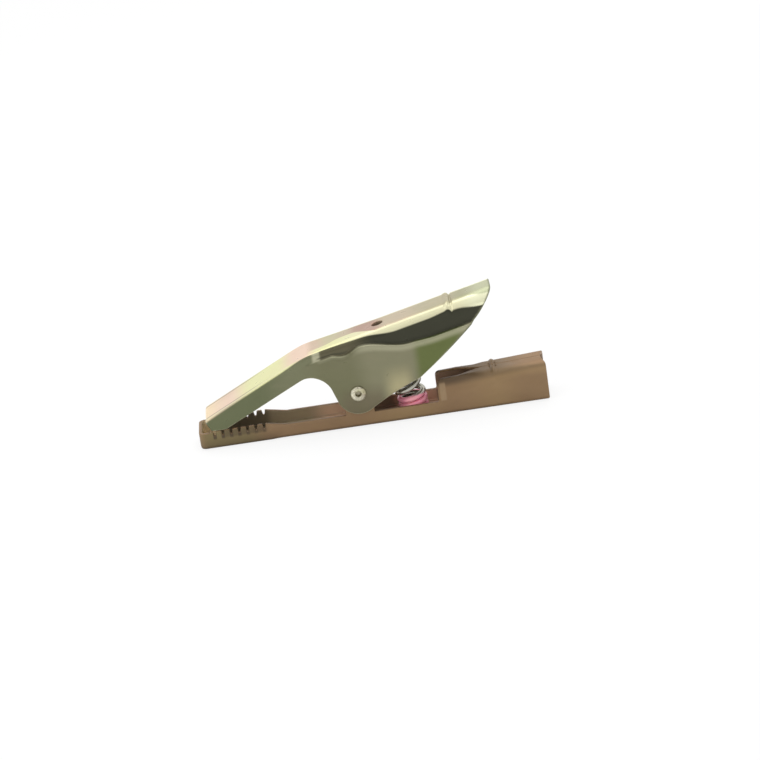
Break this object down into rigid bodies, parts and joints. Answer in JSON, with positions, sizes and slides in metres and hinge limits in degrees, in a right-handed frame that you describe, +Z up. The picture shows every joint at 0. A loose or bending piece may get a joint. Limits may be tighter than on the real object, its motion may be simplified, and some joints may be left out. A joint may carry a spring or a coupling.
{
  "type": "spring clamp",
  "caption": "Pressed steel spring clamp: riveted U-section levers with a toothed lower jaw, plain upper jaw, compression spring and rolled cable barrel.",
  "frame": {"origin": "middle of the footprint on the surface that the clamp rests on, midway between the lower nose and the end of the cable barrel", "axes": "+X along the lower lever towards the handles, +Y along the rivet towards its domed head, +Z up"},
  "size_m": [0.112, 0.0172, 0.04],
  "materials": {
    "lower_steel": "bronze-brown passivated zinc on pressed steel, semi-matt",
    "upper_steel": "yellow iridescent passivated zinc on pressed steel, glossy",
    "rivet_steel": "bright zinc, lightly worn",
    "spring_steel": "bright zinc with a pink iridescence on the lower coils"
  },
  "bodies": {
    "lower": {"lower_lever": "lower_steel", "pivot_rivet": "rivet_steel", "spring": "spring_steel"},
    "upper": {"upper_lever": "upper_steel"}
  },
  "joints": [
    {"name": "clamp_pivot", "type": "hinge", "parent": "lower", "child": "upper", "pos_m": [-0.004, 0, 0.012], "axis": [0, 1, 0], "range_deg": [0, 24], "stiffness_Nm_per_rad": 2, "springref_deg": -8.59, "deforming": ["spring"]}
  ]
}
